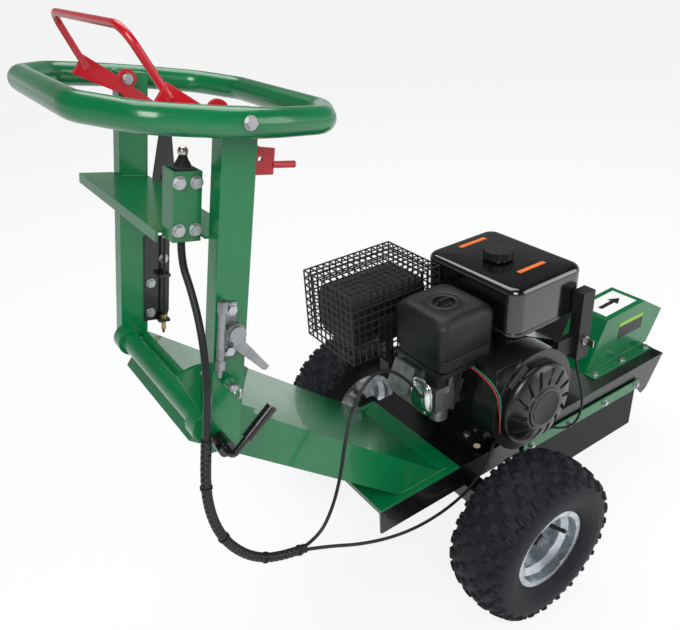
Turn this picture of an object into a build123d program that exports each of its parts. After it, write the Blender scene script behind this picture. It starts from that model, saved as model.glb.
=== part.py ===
"""Walk-behind stump grinder: a deck on two wheels, a petrol engine, a toothed cutter wheel under
a green cover, and a folding handle with a ring bar, a red hold-to-run bail and its controls.

Units are millimetres. Three frames are used:
  deck frame    x forward from the deck's rear edge, y left of the centre plane, z up from the deck top
  handle frame  origin on the fold axis, z along the posts, x forward and square to them
  tongue frame  origin on the fold axis, x down along the tongue towards the deck
Everything is written out with the ground at z = 0 and x = 0 halfway along the machine.
"""
from build123d import *
import os
from math import cos, sin, tan, radians, pi, hypot, atan2

# ---------------------------------------------------------------- driving dimensions
DECK_LEN, DECK_W, DECK_T, FLANGE_H = 1058, 343, 6, 65
WHEEL_R, TYRE_W, TRACK = 203, 168, 704
RIM_R, RIM_W = 101, 124
AXLE_X, AXLE_DROP = 296, 103
AXLE_TUBE, STUB_R = 50, 12.5
CUTTER_X, CUTTER_Y, CUTTER_R, DISC_R, DISC_T = 950, -43, 175, 150, 18
CUTTER_SHAFT_R, TOOTH_PAIRS = 17.5, 8
CRANK_X, CRANK_H, CRANK_R = 430, 142, 12.7
BELT_Y, BELT_R, BELT_T, BELT_W, BELT_GAP = 104, 50, 8, 12, 18
PIVOT_X, PIVOT_H = -368, 440
BEAM_R, BEAM_LEN = 21, 330
TONGUE_W, TONGUE_TOP, TONGUE_BOTTOM, TONGUE_WALL, TONGUE_DEG = 310, 35, 47, 4, 40.7
BASE_PLATE_T, BASE_PLATE_LEN = 6, 240
LEAN_DEG = 11.3
POST_OUT, POST_T, POST_REAR, POST_FRONT, POST_FOOT = 228, 32, -12, 43, 28
RING_H, RING_R, RING_WALL, RING_HALF_W, RING_BACK, RING_AHEAD = 512, 21, 3, 264, -187, 205
BAIL_R, BAIL_ROD_R, BAIL_HALF_W = 163, 6, 168
SHELF_H, SHELF_BACK, SHELF_T = 336, -76, 4
SWITCH_BOX = (44, 40, 104)
TANK_L, TANK_W, TANK_H, TANK_TOP = 235, 308, 140, 435
FILTER_L, FILTER_W, FILTER_H, FILTER_TOP = 168, 176, 136, 400
SHROUD_R, RECOIL_R, RECOIL_FACE = 134, 108, -258
CAGE = (270, 205, 185)
CAGE_WIRE, CAGE_PITCH = 1.5, 20
COVER_Y0, COVER_Y1, SHEET = -101, 14, 3

# ---------------------------------------------------------------- clearances and small sizes
RUNNING = 0.05
GAP = 0.3
BOLT_HEAD_R, BOLT_HEAD_H, WASHER_R, WASHER_T = 8, 6, 10, 1.5

# ---------------------------------------------------------------- worked out
HALF_W = DECK_W / 2
DECK_TOP = WHEEL_R + AXLE_DROP
CUTTER_Z = CUTTER_R - DECK_TOP
HUB_HALF = 45
NOSE_X = DECK_LEN + 71
RING_TIP_X = PIVOT_X + RING_H * sin(radians(LEAN_DEG)) + RING_BACK * cos(radians(LEAN_DEG))
REAR_X = RING_TIP_X - RING_R
X_MID = (NOSE_X + REAR_X) / 2
POST_IN = POST_OUT - POST_T
BAIL_AXIS_H = RING_H + 3

TO_ROW = Pos(-X_MID, 0, DECK_TOP)
HANDLE = Pos(PIVOT_X, 0, PIVOT_H) * Rot(0, LEAN_DEG, 0)
TONGUE = Pos(PIVOT_X, 0, PIVOT_H) * Rot(0, TONGUE_DEG, 0)

os.makedirs("parts", exist_ok=True)

# ---------------------------------------------------------------- sizes of the fittings
SKIRT_T, STRIP_T = 4, 4
BELT_SLOPE = atan2(CRANK_H - CUTTER_Z, CUTTER_X - CRANK_X)
SLOT_MID = CRANK_X + CRANK_H / tan(BELT_SLOPE)
SLOT_HALF = (BELT_R + BELT_T) / sin(BELT_SLOPE) + 15
STRIP_BOLTS_X = (489, 638, 787, 930)
COVER_BOLTS_X = (809, 929, 1040)
ENGINE_BOLTS = [(CRANK_X + x, y) for x in (-98.5, 98.5) for y in (-100, 5)]
FOOT_Y = 22
ENGINE_FOOT_T = 14
TUBE_END = TRACK / 2 - 62
SHOULDER_R = 19
HUB_OUT = 20
HUB_R, HUB_FLANGE_R, STUD_CIRCLE_R, WHEEL_STUDS = 24, 62, 45, 4
DISH = -6
RIM_T = 3
TYRE_WALL = 9
PIN_R = 10
LOCK_H, LOCK_FWD, LOCK_PIN_R = 104, 12, 5
LOCK_TILTS = (-12, 0, 12)
LOCK_BUSH, LOCK_TRAVEL = 12, 12
LOCK_R = hypot(LOCK_H, LOCK_FWD)
LOCK_TILT = LEAN_DEG + atan2(LOCK_FWD, LOCK_H) * 180 / pi
BEARINGS = ((-96, -74), (-12, 14), (50, 72))
CASE_Y0, CASE_Y1, CASE_BACK = -168, 62, 88
HEAD_TILT = 25
GRIP_AT = Pos(CRANK_X - 62, CASE_Y0 - 61, CRANK_H + 86) * Rot(0, -36, 0)
CHOKE_AT = (246, -122, 196)
FILTER_X0, FILTER_Y0 = 200, -146
FILTER_KNOB = (FILTER_X0 + 82, FILTER_Y0 + 86)
FILTER_CORNER, FILTER_SLOPE = 22, 12
CAGE_X0, CAGE_Y0, CAGE_Z0 = 104, 57, 235
TANK_X0, TANK_Y0 = 378, -188
CAP_AT = (TANK_X0 + 106, TANK_Y0 + 158)
TANK_SLOPE, SEAM_DROP, SEAM_OUT = 20, 112, 3
CAP_R = 37
CONTROL = (572, -222, 196)
PANEL_L, PANEL_T, PANEL_H = 42, 30, 186
KEY_UP = 54
COLLAR_R = 29
POST_ABOVE_BAR = 13
BAIL_PIN_R = 5
SWITCH_Y0, SWITCH_X0, SWITCH_H0 = -190, -66, 328
SWITCH_Y1 = SWITCH_Y0 + SWITCH_BOX[1]
CONDUIT_R = 6
CABLE_FWD, CABLE_Y = 72, POST_IN - 16
BAIL_REST_DEG = 38
LINK_FWD, LINK_DROP, LINK_PIN_R = 72, -68, 4
CONDUIT_POINTS = [(-44, -170, 328), (-44, -171, 292), (-36, -192, 252), (-31, -218, 200), (-29, -238,
        140), (-28, -246, 76),
                  (-28, -247, 14)]
LOOM_POINTS = [(-392.8, -247, 458.7), (-404, -247, 402), (-411, -248, 344), (-407, -250, 284), (-389,
        -250, 226),
               (-352, -250, 170), (-300, -250, 132), (-240, -250, 118)]
THROTTLE_POINTS = [(-239.5, -245.5, 118), (-204, -244, 122), (-166, -236, 160), (-136, -226, 214), (-110,
        -210, 272),
                   (-74, -186, 326), (-14, -154, 356), (54, -126, 344), (108, -112, 300), (152, -106, 246),
                   (176, -102, 200), (205, -100, 186)]
KILL_POINTS = [(-239.5, -254.3, 118), (-190, -257, 96), (-120, -259, 56), (-36, -256, 18), (46, -250, -6),
        (128, -243, -14),
               (206, -234, -8), (266, -220, 10), (308, -204, 30), (338, -190, 50)]
KEY_POINTS = [(594, -206, 195.9), (595, -208, 164), (602, -220, 122), (608, -230, 74), (606, -232, 26),
        (594, -222, -12),
              (572, -202, -24), (556, -178, -26)]


def save(name, *solids):
    """Write one sub-part, moved from the deck frame to the row frame."""
    pieces = []
    for shape in solids:
        pieces += shape.solids()
    placed = [TO_ROW * piece for piece in pieces]
    whole = placed[0] if len(placed) == 1 else Compound(children=placed)
    whole.label = name
    export_step(whole, f"parts/{name}.step")


def block(x0, x1, y0, y1, z0, z1):
    """A box between two corners."""
    middle = Pos((x0 + x1) / 2, (y0 + y1) / 2, (z0 + z1) / 2)
    return middle * Box(x1 - x0, y1 - y0, z1 - z0)


def along_y(x, z, y0, y1, radius):
    """A round bar along Y between y0 and y1."""
    return Pos(x, (y0 + y1) / 2, z) * Rot(90, 0, 0) * Cylinder(radius, abs(y1 - y0))


def along_z(x, y, z0, z1, radius):
    """A round bar along Z between z0 and z1."""
    return Pos(x, y, (z0 + z1) / 2) * Cylinder(radius, z1 - z0)


def side_plate(points, y0, y1):
    """An outline in the XZ plane, given as (x, z) points, with its thickness from y0 to y1."""
    face = make_face(Polyline(*[(x, 0, z) for x, z in points], close=True))
    return Pos(0, y0, 0) * extrude(face, amount=y1 - y0, dir=(0, 1, 0))


def hex_bar_y(x, z, y0, y1, radius):
    """A hexagonal bar along Y; radius is measured across its corners."""
    prism = extrude(RegularPolygon(radius, 6), amount=abs(y1 - y0))
    return Pos(x, max(y0, y1), z) * Rot(90, 0, 0) * prism


def bolt_y(x, z, face_y, out, shank=10):
    """A hex bolt with a washer whose head stands out of a face at face_y, towards out (+1 or -1)."""
    washer = along_y(x, z, face_y, face_y + out * WASHER_T, WASHER_R)
    head = hex_bar_y(x, z, face_y + out * WASHER_T, face_y + out * (WASHER_T + BOLT_HEAD_H), BOLT_HEAD_R)
    return washer + head


def bolt_z(x, y, z):
    """A hex bolt with a washer standing on a level face at height z."""
    washer = along_z(x, y, z, z + WASHER_T, WASHER_R)
    head = Pos(x, y, z + WASHER_T) * extrude(RegularPolygon(BOLT_HEAD_R, 6), amount=BOLT_HEAD_H)
    return washer + head


def spun_about_y(points, x, y, z):
    """A ring turned about a Y axis through (x, y, z); points are (radius, distance along Y)."""
    face = make_face(Polyline(*[(r, a, 0) for r, a in points], close=True))
    return Pos(x, y, z) * revolve(face, Axis.Y)


def cord(points, radius):
    """A cord of round section: straight runs joined by tangent arcs."""
    bends = []
    vectors = [Vector(*p) for p in points]
    for before, here, after in zip(vectors, vectors[1:], vectors[2:]):
        first, second = here - before, after - here
        turn = radians(first.get_angle(second))
        bends.append(0.45 * min(first.length, second.length) / tan(turn / 2))
    path = FilletPolyline(*points, radius=bends)
    print("  cord: shortest bend %.0f mm, %.1f diameters" % (min(bends), min(bends) / (2 * radius)))
    start = Plane(origin=path @ 0, z_dir=path % 0)
    body = sweep(start * Circle(radius), path=path)
    print("  cord: length %.0f mm, volume over section %.4f" % (path.length,
            body.volume / (pi * radius**2 * path.length)))
    return body


# ================================================================ chassis
def deck():
    """The black channel deck: a top plate with side flanges, front ears, a belt slot and a cutter slot."""
    top = block(0, DECK_LEN, -HALF_W, HALF_W, -DECK_T, 0)
    flanges = []
    ear = [(0, 0), (DECK_LEN, 0), (DECK_LEN - 58, -99), (DECK_LEN - 80, -110), (DECK_LEN - 118,
            -FLANGE_H), (0, -FLANGE_H)]
    for side in (-1, 1):
        y0 = min(side * HALF_W, side * (HALF_W - DECK_T))
        flanges.append(side_plate(ear, y0, y0 + DECK_T))
    cutter_slot = block(CUTTER_X - 128, DECK_LEN + 1, CUTTER_Y - 27, CUTTER_Y + 27, -20, 20)
    belt_slot = block(SLOT_MID - SLOT_HALF, SLOT_MID + SLOT_HALF, BELT_Y - 25, BELT_Y + 25, -20, 20)
    return top + flanges[0] + flanges[1] - cutter_slot - belt_slot


def side_strips():
    """The two green bars that clamp the rubber skirts to the deck flanges."""
    outline = [(460, -32), (944, -40), (944, -71), (460, -64)]
    outer = HALF_W + SKIRT_T
    return side_plate(outline, -outer - STRIP_T, -outer), side_plate(outline, outer, outer + STRIP_T)


def side_skirts():
    """The two rubber skirts that hang from the deck's flanges beside the cutter."""
    outline = [(462, -42), (934, -44), (934, -197), (462, -197)]
    return side_plate(outline, -HALF_W - SKIRT_T, -HALF_W), side_plate(outline, HALF_W, HALF_W + SKIRT_T)


def cutter_cover():
    """The green sheet cover over the cutter: two sides and a folded top, open below and at the nose."""
    outer = [(790, 0), (865, 150), (1035, 155), (NOSE_X, 97), (1076, 0)]
    inner = [(796, -1), (867, 150 - SHEET), (1034, 155 - SHEET), (NOSE_X + 9, 88), (1090, -1)]
    shell = side_plate(outer, COVER_Y0, COVER_Y1) - side_plate(inner, COVER_Y0 + SHEET, COVER_Y1 - SHEET)
    feet = block(790, 1056, COVER_Y0 - 2 * FOOT_Y + 8, COVER_Y0 + SHEET, 0, SHEET)
    feet += block(790, 1056, COVER_Y1 - SHEET, COVER_Y1 + 2 * FOOT_Y - 8, 0, SHEET)
    return shell + feet


def chassis_bolts():
    """Hex bolts of the strips, the cover's feet and the engine's feet, as separate solids."""
    outer = HALF_W + SKIRT_T + STRIP_T
    bolts = []
    for x in STRIP_BOLTS_X:
        bolts.append(bolt_y(x, -53, -outer, -1))
        bolts.append(bolt_y(x, -53, outer, 1))
    for x in COVER_BOLTS_X:
        bolts.append(bolt_z(x, COVER_Y0 - FOOT_Y, SHEET))
        bolts.append(bolt_z(x, COVER_Y1 + FOOT_Y, SHEET))
    for x, y in ENGINE_BOLTS:
        bolts.append(bolt_z(x, y, ENGINE_FOOT_T))
    return bolts


def axle():
    """The square axle tube with its two hangers, and at each end a round stub with a nut for the wheel."""
    half = AXLE_TUBE / 2
    z = -AXLE_DROP
    tube = block(AXLE_X - half, AXLE_X + half, -TUBE_END, TUBE_END, z - half, z + half)
    tube -= block(AXLE_X - half + 4, AXLE_X + half - 4, -TUBE_END + 6, TUBE_END - 6, z - half + 4,
            z + half - 4)
    for side in (-1, 1):
        tube += block(AXLE_X - 40, AXLE_X + 40, side * 125 - 4, side * 125 + 4, z + half, -DECK_T)
        centre = side * TRACK / 2
        inner = centre - side * (HUB_HALF + GAP)
        outer = centre + side * (HUB_OUT + GAP)
        tube += along_y(AXLE_X, z, side * TUBE_END, inner, SHOULDER_R)
        tube += along_y(AXLE_X, z, side * TUBE_END, outer + side * 14, STUB_R)
        tube += along_y(AXLE_X, z, outer, outer + side * 2.5, 20)
        tube += hex_bar_y(AXLE_X, z, outer + side * 2.5, outer + side * 12, 17)
    return tube


def hub(side):
    """A wheel hub: a barrel with a running bore, a flange behind the rim's disc, four studs with nuts."""
    y = side * TRACK / 2
    z = -AXLE_DROP
    barrel = along_y(AXLE_X, z, y - side * HUB_HALF, y + side * HUB_OUT, HUB_R)
    flange = along_y(AXLE_X, z, y + side * (DISH - 8), y + side * DISH, HUB_FLANGE_R)
    whole = barrel + flange
    for k in range(WHEEL_STUDS):
        angle = pi / 4 + k * 2 * pi / WHEEL_STUDS
        sx, sz = AXLE_X + STUD_CIRCLE_R * cos(angle), z + STUD_CIRCLE_R * sin(angle)
        whole += along_y(sx, sz, y + side * (DISH - 1), y + side * (DISH + 18), 5)
        whole += hex_bar_y(sx, sz, y + side * (DISH + RIM_T), y + side * (DISH + RIM_T + 8), 9)
    return whole - along_y(AXLE_X, z, y - side * 80, y + side * 80, STUB_R + RUNNING)


def rim(side):
    """A pressed steel rim: a drop-centre barrel with bead seats and a disc set deep inside it."""
    half, seat, well = RIM_W / 2, RIM_R - 10, RIM_R - 25
    top = [(RIM_R, half), (RIM_R, half - 4), (seat, half - 4), (seat, 40), (well, 30)]
    low = [(well - RIM_T, 30), (seat - RIM_T, 40), (seat - RIM_T, half)]
    outline = top + [(r, -a) for r, a in reversed(top)] + [(r, -a) for r, a in reversed(low)] + low
    barrel = spun_about_y(outline, AXLE_X, side * TRACK / 2, -AXLE_DROP)
    y = side * TRACK / 2 + side * DISH
    z = -AXLE_DROP
    disc = along_y(AXLE_X, z, y, y + side * RIM_T, well - 1) - along_y(AXLE_X, z, y - 20, y + 20, HUB_R + 1)
    for k in range(WHEEL_STUDS):
        angle = pi / 4 + k * 2 * pi / WHEEL_STUDS
        sx, sz = AXLE_X + STUD_CIRCLE_R * cos(angle), z + STUD_CIRCLE_R * sin(angle)
        disc -= along_y(sx, sz, y - 20, y + 20, 5 + GAP)
    return barrel + disc


def tyre(side):
    """A pneumatic tyre: a hollow round-shouldered ring whose beads sit in the rim's seats."""
    bead = RIM_R - 10
    height = WHEEL_R - bead
    middle = (WHEEL_R + bead) / 2
    section = Pos(middle, 0) * RectangleRounded(height, TYRE_W, 38)
    hollow = Pos(middle - TYRE_WALL, 0) * RectangleRounded(height, TYRE_W - 2 * TYRE_WALL, 30)
    mouth = Pos(bead, 0) * Rectangle(40, 2 * 44)
    ring = revolve(section - hollow - mouth, Axis.Y)
    ring -= Rot(90, 0, 0) * Cylinder(RIM_R + GAP, 400) - Rot(90, 0, 0) * Cylinder(RIM_R + GAP, RIM_W - 8)
    ring -= Rot(90, 0, 0) * Cylinder(bead, 400)
    return Pos(AXLE_X, side * TRACK / 2, -AXLE_DROP) * ring


def tongue():
    """The wide sheet-metal tongue from the deck up to the fold beam, its base plate and lock quadrant."""
    long = 900
    half = TONGUE_W / 2
    outer = block(8, long, -half, half, -TONGUE_BOTTOM, TONGUE_TOP)
    wall = TONGUE_WALL
    inner = block(8 + wall, long, -half + wall, half - wall, -TONGUE_BOTTOM + wall, TONGUE_TOP - wall)
    hollow = TONGUE * (outer - inner)
    hollow -= block(-800, 900, -400, 400, -900, BASE_PLATE_T)
    plate = block(0, BASE_PLATE_LEN, -HALF_W, HALF_W, 0, BASE_PLATE_T)
    beam = along_y(PIVOT_X, PIVOT_H, -BEAM_LEN / 2, BEAM_LEN / 2, BEAM_R)
    bore = along_y(PIVOT_X, PIVOT_H, -BEAM_LEN, BEAM_LEN, PIN_R + RUNNING)
    return hollow + plate + beam + quadrant() - bore


def quadrant():
    """The lock plate on the tongue's right side: a sector with one hole for each handle position."""
    y0, y1 = -POST_IN + 5, -POST_IN + 12
    arc = [(LOCK_R + 15) * 1.0, LOCK_TILT - 34, LOCK_TILT + 34]
    radius, first, last = arc
    rim_points = [(radius * sin(radians(a)), radius * cos(radians(a))) for a in range(int(first),
            int(last) + 1, 4)]
    outline = [(PIVOT_X - 8, PIVOT_H + 36), *[(PIVOT_X + x, PIVOT_H + z) for x, z in rim_points],
            (PIVOT_X + 62, PIVOT_H + 12)]
    plate = side_plate(outline, y0, y1)
    lug = TONGUE * block(34, 74, y1, -TONGUE_W / 2, -16, TONGUE_TOP)
    web = TONGUE * block(34, 74, y0, y1, -16, TONGUE_TOP + 20)
    whole = plate + web + lug
    for tilt in LOCK_TILTS:
        a = radians(LOCK_TILT + tilt)
        whole -= along_y(PIVOT_X + LOCK_R * sin(a), PIVOT_H + LOCK_R * cos(a), y0 - 9, y1 + 9,
                LOCK_PIN_R + GAP)
    return whole


# ================================================================ cutter and drive
def bearing_block(y0, y1):
    """A pillow block that hangs the cutter shaft from the deck's underside."""
    body = block(CUTTER_X - 34, CUTTER_X + 34, y0, y1, CUTTER_Z, -DECK_T)
    body += along_y(CUTTER_X, CUTTER_Z, y0, y1, 34)
    return body - along_y(CUTTER_X, CUTTER_Z, y0 - 9, y1 + 9, CUTTER_SHAFT_R + RUNNING)


def cutter_disc():
    """The cutter wheel: a thick disc with a boss, bored to a push fit on its shaft."""
    y0, y1 = CUTTER_Y - DISC_T / 2, CUTTER_Y + DISC_T / 2
    disc = along_y(CUTTER_X, CUTTER_Z, y0, y1, DISC_R) + along_y(CUTTER_X, CUTTER_Z, y0 - 10, y1 + 12, 34)
    return disc - along_y(CUTTER_X, CUTTER_Z, y0 - 30, y1 + 30, CUTTER_SHAFT_R)


def cutter_teeth():
    """Carbide-tipped pockets round the rim, one on each face at every station."""
    teeth = []
    for k in range(TOOTH_PAIRS):
        turn = Pos(CUTTER_X, CUTTER_Y, CUTTER_Z) * Rot(0, k * 360 / TOOTH_PAIRS, 0)
        for side in (-1, 1):
            y0, y1 = sorted((side * DISC_T / 2, side * (DISC_T / 2 + 14)))
            holder = block(-16, 12, y0, y1, -DISC_R + 4, -DISC_R + 38)
            tip = side_plate([(-14, -DISC_R + 6), (8, -DISC_R + 6), (2, -CUTTER_R), (-6, -CUTTER_R)], y0, y1)
            teeth.append(turn * (holder + tip))
    return teeth


def pulley(x, z):
    """A two-groove belt pulley."""
    y0, y1 = BELT_Y - 20, BELT_Y + 20
    body = along_y(x, z, y0, y1, BELT_R + BELT_T + 4)
    for y in (BELT_Y - BELT_GAP / 2, BELT_Y + BELT_GAP / 2):
        groove = along_y(x, z, y - BELT_W / 2 - GAP, y + BELT_W / 2 + GAP, 90)
        body -= groove - along_y(x, z, y - 30, y + 30, BELT_R - GAP)
    return body


def drive_belts():
    """Two belts round the engine's pulley and the cutter's, side by side."""
    span = hypot(CUTTER_X - CRANK_X, CUTTER_Z - CRANK_H)
    slope = atan2(CRANK_H - CUTTER_Z, CUTTER_X - CRANK_X) * 180 / pi
    loop = SlotCenterToCenter(span, 2 * (BELT_R + BELT_T)) - SlotCenterToCenter(span, 2 * BELT_R)
    belt = Rot(0, slope, 0) * Rot(90, 0, 0) * extrude(loop, amount=BELT_W / 2, both=True)
    x, z = (CRANK_X + CUTTER_X) / 2, (CRANK_H + CUTTER_Z) / 2
    return [Pos(x, BELT_Y + k * BELT_GAP / 2, z) * belt for k in (-1, 1)]


def belt_guard():
    """A sheet guard round the engine's pulley and the belts' upper stretch, down to the deck."""
    r = BELT_R + BELT_T + 16
    y0, y1 = BELT_Y - 32, BELT_Y + 30
    outer = along_y(CRANK_X, CRANK_H, y0, y1, r)
    far_x, near_x = 862, CRANK_X - r + 8
    outline = [(near_x, 0), (near_x, CRANK_H), (CRANK_X + 38, CRANK_H + r - 12), (far_x, 8), (far_x, 0)]
    outer += side_plate(outline, y0, y1)
    shell = outer - belt_guard_hollow(r - SHEET, near_x, far_x, y0, y1)
    return shell - along_y(CRANK_X, CRANK_H, y0 - 5, y0 + 9, 30)


def belt_guard_hollow(r, near_x, far_x, y0, y1):
    """The space inside the belt guard."""
    space = along_y(CRANK_X, CRANK_H, y0 + SHEET, y1 - SHEET, r)
    top = (CRANK_X + 38, CRANK_H + r - 13)
    outline = [(near_x + SHEET, -1), (near_x + SHEET, CRANK_H), top, (far_x - 8, 3), (far_x - 8, -1)]
    return space + side_plate(outline, y0 + SHEET, y1 - SHEET)


def crankshaft():
    """The engine's output shaft, from inside the crankcase through to the pulley."""
    return along_y(CRANK_X, CRANK_H, -40, BELT_Y + 22, CRANK_R)


# ================================================================ engine


def crankcase():
    """The aluminium crankcase with its feet, a side cover boss and a bore for the crankshaft."""
    body = block(CRANK_X - CASE_BACK, CRANK_X + 82, CASE_Y0 + 20, CASE_Y1 - 14, 0, 232)
    body = fillet(body.edges().filter_by(Axis.Y), 30)
    body += block(CRANK_X - 116, CRANK_X + 116, CASE_Y0 + 34, CASE_Y1 - 20, 0, ENGINE_FOOT_T)
    body += along_y(CRANK_X, CRANK_H, CASE_Y1 - 14, CASE_Y1, 78)
    for y in (-50, 50):
        body += block(CRANK_X + 38, CRANK_X + 66, y - 15, y + 15, 228, TANK_TOP - TANK_H)
    body -= block(CRANK_X - CASE_BACK + 10, CRANK_X + 72, CASE_Y0 + 30, CASE_Y1 - 26, 12, 220)
    body -= along_y(CRANK_X, CRANK_H, -60, CASE_Y1 + 9, CRANK_R + RUNNING)
    return body


def cylinder():
    """The finned cylinder and head, leaning back and up from the crankcase."""
    place = Pos(CRANK_X - CASE_BACK, 0, 132) * Rot(0, HEAD_TILT, 0)
    body = block(-140, 30, -58, 40, -42, 40)
    for k in range(9):
        x = -134 + 15 * k
        body += block(x, x + 3, -72, 54, -56, 50)
    body += block(-168, -140, -48, 26, -30, 38)
    inside = block(CRANK_X - CASE_BACK, CRANK_X + 120, -300, 300, -50, 400)
    return place * body - inside


def fan_shroud():
    """The black pressed housing over the flywheel fan, on the right of the crankcase."""
    body = along_y(CRANK_X, CRANK_H, CASE_Y0 + 20, CASE_Y0 - 50, SHROUD_R)
    body += block(CRANK_X - 120, CRANK_X + 20, CASE_Y0 - 40, CASE_Y0 + 20, CRANK_H, CRANK_H + 128)
    body -= along_y(CRANK_X, CRANK_H, CASE_Y0 + 17, CASE_Y0 - 47, SHROUD_R - 4)
    body -= block(0, 900, -400, 0, -40, ENGINE_FOOT_T + 1)
    return body - along_y(CRANK_X, CRANK_H, CASE_Y0 - 60, CASE_Y0 - 30, 92)


def recoil_cover():
    """The rewind starter's housing: a stepped round cover with vent slots round a centre hub."""
    y0 = CASE_Y0 - 50
    body = along_y(CRANK_X, CRANK_H, y0, y0 - 22, RECOIL_R)
    body += along_y(CRANK_X, CRANK_H, y0 - 22, RECOIL_FACE + 6, RECOIL_R - 20)
    body += along_y(CRANK_X, CRANK_H, RECOIL_FACE + 6, RECOIL_FACE, 48)
    for k in range(12):
        slot = Rot(0, k * 30, 0) * block(58, 80, RECOIL_FACE - 20, RECOIL_FACE + 22, -5, 5)
        body -= Pos(CRANK_X, 0, CRANK_H) * slot
    spool = along_y(CRANK_X, CRANK_H, y0 + 2, RECOIL_FACE + 24, 84)
    body -= spool
    exit_hole = GRIP_AT * along_z(0, 0, -40, 40, 4)
    return body - exit_hole


def starter_grip():
    """The rewind starter's T grip, with the short stem that seats in the housing."""
    bar = GRIP_AT * (Pos(0, 0, 24) * Rot(0, 90, 0) * Cylinder(8, 62))
    stem = GRIP_AT * along_z(0, 0, 9, 24, 6)
    return bar + stem


def carburettor():
    """The carburettor body between the cylinder head and the air filter base."""
    body = block(206, 262, -122, -76, 150, 214)
    body += along_z(234, -99, 118, 150, 22)
    return body + along_y(234, 182, -76, -72, 20)


def choke_lever():
    """The choke lever on the carburettor's right side, with a bent end to push."""
    x, y, z = CHOKE_AT
    return along_y(x, z, y - GAP - 4, y - GAP, 8) + side_plate(
        [(x - 5, z), (x + 5, z), (x + 9, z + 42), (x - 1, z + 42)], y - GAP - 4, y - GAP)


def filter_base():
    """The air filter's tray, standing on the carburettor's mouth."""
    x0, y0 = FILTER_X0 + 6, FILTER_Y0 + 6
    tray = block(x0, x0 + FILTER_L - 12, y0, y0 + FILTER_W - 12, FILTER_TOP - FILTER_H - 12,
            FILTER_TOP - FILTER_H)
    return tray + block(212, 256, -118, -80, 214, FILTER_TOP - FILTER_H)


def filter_cover():
    """The boxy black air filter cover, with rounded corners and a recess for its knob."""
    body = block(FILTER_X0, FILTER_X0 + FILTER_L, FILTER_Y0, FILTER_Y0 + FILTER_W, FILTER_TOP - FILTER_H,
            FILTER_TOP)
    body = fillet(body.edges().filter_by(Axis.Z), FILTER_CORNER)
    body = chamfer(body.faces().sort_by(Axis.Z)[-1].edges(), FILTER_SLOPE)
    cx, cy = FILTER_KNOB
    body -= along_z(cx, cy, FILTER_TOP - 10, FILTER_TOP + 9, 25)
    hollow = block(FILTER_X0 + 4, FILTER_X0 + FILTER_L - 4, FILTER_Y0 + 4, FILTER_Y0 + FILTER_W - 4,
                   FILTER_TOP - FILTER_H - 1, FILTER_TOP - 14)
    body -= hollow
    return body - along_z(cx, cy, FILTER_TOP - 40, FILTER_TOP, 5 + RUNNING)


def filter_knob():
    """The wing knob that holds the filter cover down."""
    cx, cy = FILTER_KNOB
    base = FILTER_TOP - 10 + GAP
    knob = along_z(cx, cy, base, base + 6, 16) + block(cx - 15, cx + 15, cy - 3, cy + 3, base, base + 16)
    return knob + along_z(cx, cy, base - 18, base, 5)


def muffler():
    """The exhaust silencer: a rounded box over the cylinder head, with its flange and outlet."""
    x0, y0 = CAGE_X0 + 22, CAGE_Y0 + 22
    body = block(x0, x0 + 218, y0, y0 + 150, CAGE_Z0 + 24, CAGE_Z0 + 150)
    body = fillet(body.edges().filter_by(Axis.X), 26)
    body -= block(x0 + 3, x0 + 215, y0 + 10, y0 + 140, CAGE_Z0 + 34, CAGE_Z0 + 140)
    body += block(x0 + 60, x0 + 130, y0 - 18, y0 + 10, CAGE_Z0 + 30, CAGE_Z0 + 90)
    body += block(x0 + 79, x0 + 114, 54, y0 + 10, 172, 206) + along_z(x0 + 96, y0 - 4, 190, CAGE_Z0 + 40, 13)
    return body + along_y(x0 + 40, CAGE_Z0 + 70, y0 + 140, y0 + 168, 11)


def muffler_cage():
    """The welded wire guard round the silencer: a box of crossing wires, open underneath."""
    long, wide, high = CAGE
    nx, ny, nz = (round(side / CAGE_PITCH) for side in CAGE)
    wire = 2 * CAGE_WIRE
    box = Box(long, wide, high) - Pos(0, 0, -wire) * Box(long - 2 * wire, wide - 2 * wire, high)
    hole = [(side - wire) / n - wire for side, n in zip(CAGE, (nx, ny, nz))]
    pitch = [size + wire for size in hole]
    box -= GridLocations(pitch[0], pitch[1], nx, ny) * Box(hole[0], hole[1], 3 * high)
    box -= [Rot(90, 0, 0) * at * Box(hole[0], hole[2], 3 * wide) for at in GridLocations(pitch[0],
            pitch[2], nx, nz)]
    box -= [Rot(0, 90, 0) * at * Box(hole[2], hole[1], 3 * long) for at in GridLocations(pitch[2],
            pitch[1], nz, ny)]
    return Pos(CAGE_X0 + long / 2, CAGE_Y0 + wide / 2, CAGE_Z0 + high / 2) * box


def fuel_tank():
    """The fuel tank: a flat box with large rounded edges and a raised neck."""
    x0, y0 = TANK_X0, TANK_Y0
    body = block(x0, x0 + TANK_L, y0, y0 + TANK_W, TANK_TOP - TANK_H, TANK_TOP)
    body = fillet(body.edges().filter_by(Axis.Z), 34)
    body = fillet(body.faces().sort_by(Axis.Z)[-1].edges(), 16)
    body = chamfer(body.faces().sort_by(Axis.Z)[0].edges(), TANK_SLOPE)
    seam = block(x0 - SEAM_OUT, x0 + TANK_L + SEAM_OUT, y0 - SEAM_OUT, y0 + TANK_W + SEAM_OUT,
                 TANK_TOP - SEAM_DROP - 4, TANK_TOP - SEAM_DROP)
    body += fillet(seam.edges().filter_by(Axis.Z), 34 + SEAM_OUT)
    cx, cy = CAP_AT
    body += along_z(cx, cy, TANK_TOP - 5, TANK_TOP + 6, 26)
    body -= block(x0 + TANK_SLOPE, x0 + TANK_L - TANK_SLOPE, y0 + TANK_SLOPE, y0 + TANK_W - TANK_SLOPE,
                  TANK_TOP - TANK_H + 3, TANK_TOP - 12)
    return body - along_z(cx, cy, TANK_TOP - 30, TANK_TOP + 9, 19)


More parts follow.
